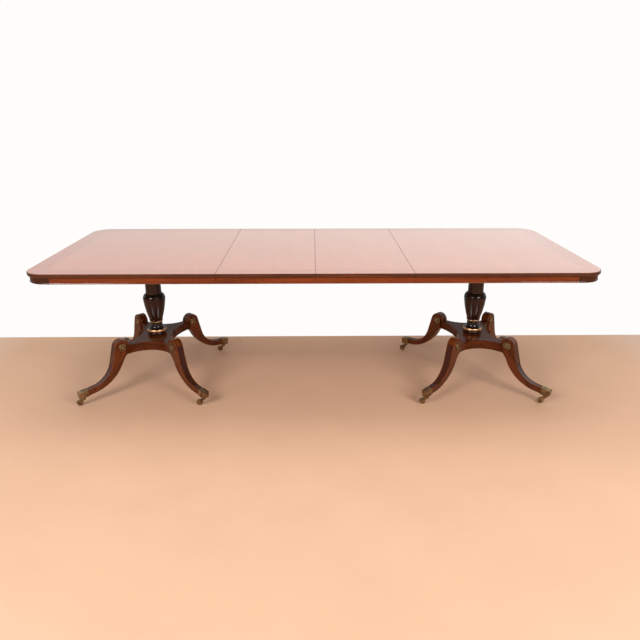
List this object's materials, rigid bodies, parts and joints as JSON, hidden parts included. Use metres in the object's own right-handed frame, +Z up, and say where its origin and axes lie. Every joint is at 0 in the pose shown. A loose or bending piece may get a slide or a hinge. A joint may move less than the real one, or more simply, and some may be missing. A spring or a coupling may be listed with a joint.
{
  "type": "double pedestal dining table",
  "caption": "Long extension dining table with rounded corners and loose leaves, on turned columns with concave platforms, scroll-headed sabre legs, capped toes and swivel casters.",
  "frame": {"origin": "on the floor under the middle of the table", "axes": "+X along the table to the right as seen in the picture, +Y away from the viewer, +Z up"},
  "size_m": [2.692, 1.08, 0.749],
  "materials": {
    "top_mahogany": "polished",
    "apron_mahogany": "polished",
    "corner_mahogany": "polished",
    "bead_mahogany": "polished",
    "leg_mahogany": "polished",
    "column_wood": "polished, with black bands and gilt rings",
    "slide_wood": "waxed",
    "rosette_brass": "aged",
    "cap_brass": "aged",
    "caster_brass": "aged",
    "bolt_steel": "plain"
  },
  "bodies": {
    "left_half": {"left_top": "top_mahogany", "left_front_rail": "apron_mahogany", "left_back_rail": "apron_mahogany", "left_end_rail": "apron_mahogany", "left_corner_blocks": "corner_mahogany", "left_bead": "bead_mahogany", "left_front_slide": "slide_wood", "left_back_slide": "slide_wood", "left_top_block": "slide_wood", "left_column": "column_wood", "left_platform": "leg_mahogany", "left_front_left_leg": "leg_mahogany", "left_front_right_leg": "leg_mahogany", "left_back_left_leg": "leg_mahogany", "left_back_right_leg": "leg_mahogany", "left_rosettes": "rosette_brass", "left_toe_caps": "cap_brass", "left_tie_bolt": "bolt_steel"},
    "right_half": {"right_top": "top_mahogany", "right_front_rail": "apron_mahogany", "right_back_rail": "apron_mahogany", "right_end_rail": "apron_mahogany", "right_corner_blocks": "corner_mahogany", "right_bead": "bead_mahogany", "right_front_slide": "slide_wood", "right_back_slide": "slide_wood", "right_top_block": "slide_wood", "right_column": "column_wood", "right_platform": "leg_mahogany", "right_front_left_leg": "leg_mahogany", "right_front_right_leg": "leg_mahogany", "right_back_left_leg": "leg_mahogany", "right_back_right_leg": "leg_mahogany", "right_rosettes": "rosette_brass", "right_toe_caps": "cap_brass", "right_tie_bolt": "bolt_steel"},
    "centre_front_member": {"centre_front_slide": "slide_wood"},
    "centre_back_member": {"centre_back_slide": "slide_wood"},
    "left_leaf": {"left_leaf_top": "top_mahogany", "left_leaf_rails": "apron_mahogany", "left_leaf_beads": "bead_mahogany"},
    "right_leaf": {"right_leaf_top": "top_mahogany", "right_leaf_rails": "apron_mahogany", "right_leaf_beads": "bead_mahogany"},
    "left_front_left_swivel": {"left_front_left_fork": "caster_brass"},
    "left_front_left_roller": {"left_front_left_wheel": "caster_brass"},
    "left_front_right_swivel": {"left_front_right_fork": "caster_brass"},
    "left_front_right_roller": {"left_front_right_wheel": "caster_brass"},
    "left_back_left_swivel": {"left_back_left_fork": "caster_brass"},
    "left_back_left_roller": {"left_back_left_wheel": "caster_brass"},
    "left_back_right_swivel": {"left_back_right_fork": "caster_brass"},
    "left_back_right_roller": {"left_back_right_wheel": "caster_brass"},
    "right_front_left_swivel": {"right_front_left_fork": "caster_brass"},
    "right_front_left_roller": {"right_front_left_wheel": "caster_brass"},
    "right_front_right_swivel": {"right_front_right_fork": "caster_brass"},
    "right_front_right_roller": {"right_front_right_wheel": "caster_brass"},
    "right_back_left_swivel": {"right_back_left_fork": "caster_brass"},
    "right_back_left_roller": {"right_back_left_wheel": "caster_brass"},
    "right_back_right_swivel": {"right_back_right_fork": "caster_brass"},
    "right_back_right_roller": {"right_back_right_wheel": "caster_brass"}
  },
  "joints": [
    {"name": "extension", "type": "slide", "parent": "left_half", "child": "right_half", "axis": [1, 0, 0], "range_m": [0, 0.05]},
    {"name": "centre_front_follow", "type": "slide", "parent": "left_half", "child": "centre_front_member", "axis": [1, 0, 0], "range_m": [0, 0.025]},
    {"name": "centre_back_follow", "type": "slide", "parent": "left_half", "child": "centre_back_member", "axis": [1, 0, 0], "range_m": [0, 0.025]},
    {"name": "left_leaf_lift", "type": "slide", "parent": "left_half", "child": "left_leaf", "axis": [0, 0, 1], "range_m": [0, 0.3]},
    {"name": "right_leaf_lift", "type": "slide", "parent": "left_half", "child": "right_leaf", "axis": [0, 0, 1], "range_m": [0, 0.3]},
    {"name": "left_front_left_turn", "type": "hinge", "parent": "left_half", "child": "left_front_left_swivel", "pos_m": [-1.20055, -0.37205, 0.037], "axis": [0, 0, 1], "continuous": true},
    {"name": "left_front_left_roll", "type": "hinge", "parent": "left_front_left_swivel", "child": "left_front_left_roller", "pos_m": [-1.22355, -0.37205, 0.0165], "axis": [0, 1, 0], "continuous": true},
    {"name": "left_front_right_turn", "type": "hinge", "parent": "left_half", "child": "left_front_right_swivel", "pos_m": [-0.58045, -0.37205, 0.037], "axis": [0, 0, 1], "continuous": true},
    {"name": "left_front_right_roll", "type": "hinge", "parent": "left_front_right_swivel", "child": "left_front_right_roller", "pos_m": [-0.60345, -0.37205, 0.0165], "axis": [0, 1, 0], "continuous": true},
    {"name": "left_back_left_turn", "type": "hinge", "parent": "left_half", "child": "left_back_left_swivel", "pos_m": [-1.20055, 0.37205, 0.037], "axis": [0, 0, 1], "continuous": true},
    {"name": "left_back_left_roll", "type": "hinge", "parent": "left_back_left_swivel", "child": "left_back_left_roller", "pos_m": [-1.22355, 0.37205, 0.0165], "axis": [0, 1, 0], "continuous": true},
    {"name": "left_back_right_turn", "type": "hinge", "parent": "left_half", "child": "left_back_right_swivel", "pos_m": [-0.58045, 0.37205, 0.037], "axis": [0, 0, 1], "continuous": true},
    {"name": "left_back_right_roll", "type": "hinge", "parent": "left_back_right_swivel", "child": "left_back_right_roller", "pos_m": [-0.60345, 0.37205, 0.0165], "axis": [0, 1, 0], "continuous": true},
    {"name": "right_front_left_turn", "type": "hinge", "parent": "right_half", "child": "right_front_left_swivel", "pos_m": [0.58045, -0.37205, 0.037], "axis": [0, 0, 1], "continuous": true},
    {"name": "right_front_left_roll", "type": "hinge", "parent": "right_front_left_swivel", "child": "right_front_left_roller", "pos_m": [0.55745, -0.37205, 0.0165], "axis": [0, 1, 0], "continuous": true},
    {"name": "right_front_right_turn", "type": "hinge", "parent": "right_half", "child": "right_front_right_swivel", "pos_m": [1.20055, -0.37205, 0.037], "axis": [0, 0, 1], "continuous": true},
    {"name": "right_front_right_roll", "type": "hinge", "parent": "right_front_right_swivel", "child": "right_front_right_roller", "pos_m": [1.17755, -0.37205, 0.0165], "axis": [0, 1, 0], "continuous": true},
    {"name": "right_back_left_turn", "type": "hinge", "parent": "right_half", "child": "right_back_left_swivel", "pos_m": [0.58045, 0.37205, 0.037], "axis": [0, 0, 1], "continuous": true},
    {"name": "right_back_left_roll", "type": "hinge", "parent": "right_back_left_swivel", "child": "right_back_left_roller", "pos_m": [0.55745, 0.37205, 0.0165], "axis": [0, 1, 0], "continuous": true},
    {"name": "right_back_right_turn", "type": "hinge", "parent": "right_half", "child": "right_back_right_swivel", "pos_m": [1.20055, 0.37205, 0.037], "axis": [0, 0, 1], "continuous": true},
    {"name": "right_back_right_roll", "type": "hinge", "parent": "right_back_right_swivel", "child": "right_back_right_roller", "pos_m": [1.17755, 0.37205, 0.0165], "axis": [0, 1, 0], "continuous": true}
  ],
  "couplings": [
    {"joint": "centre_front_follow", "follows": "extension", "ratio": 0.5},
    {"joint": "centre_back_follow", "follows": "extension", "ratio": 0.5}
  ]
}
